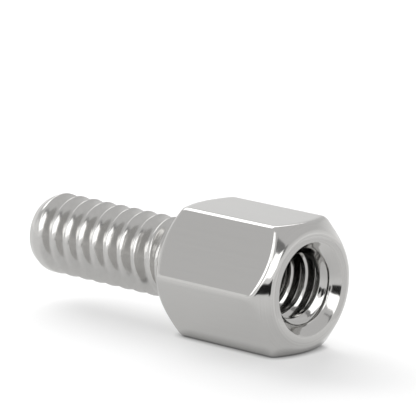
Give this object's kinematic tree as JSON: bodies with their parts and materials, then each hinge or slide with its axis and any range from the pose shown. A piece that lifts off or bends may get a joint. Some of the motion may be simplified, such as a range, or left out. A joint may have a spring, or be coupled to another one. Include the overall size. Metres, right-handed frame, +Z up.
{
  "type": "hex standoff",
  "caption": "Male-female hex standoff in polished steel, with a coarse threaded stud at one end and a countersunk, tapped blind hole at the other.",
  "frame": {"origin": "on the standoff's axis, in the plane of the shoulder that the stud stands on", "axes": "+X along the axis from the stud to the tapped mouth, +Z up out of the upper flat as the standoff lies on the flat below"},
  "size_m": [0.0146, 0.0062, 0.0054],
  "materials": {
    "steel": "polished"
  },
  "bodies": {
    "root": {"standoff": "steel"}
  },
  "joints": []
}
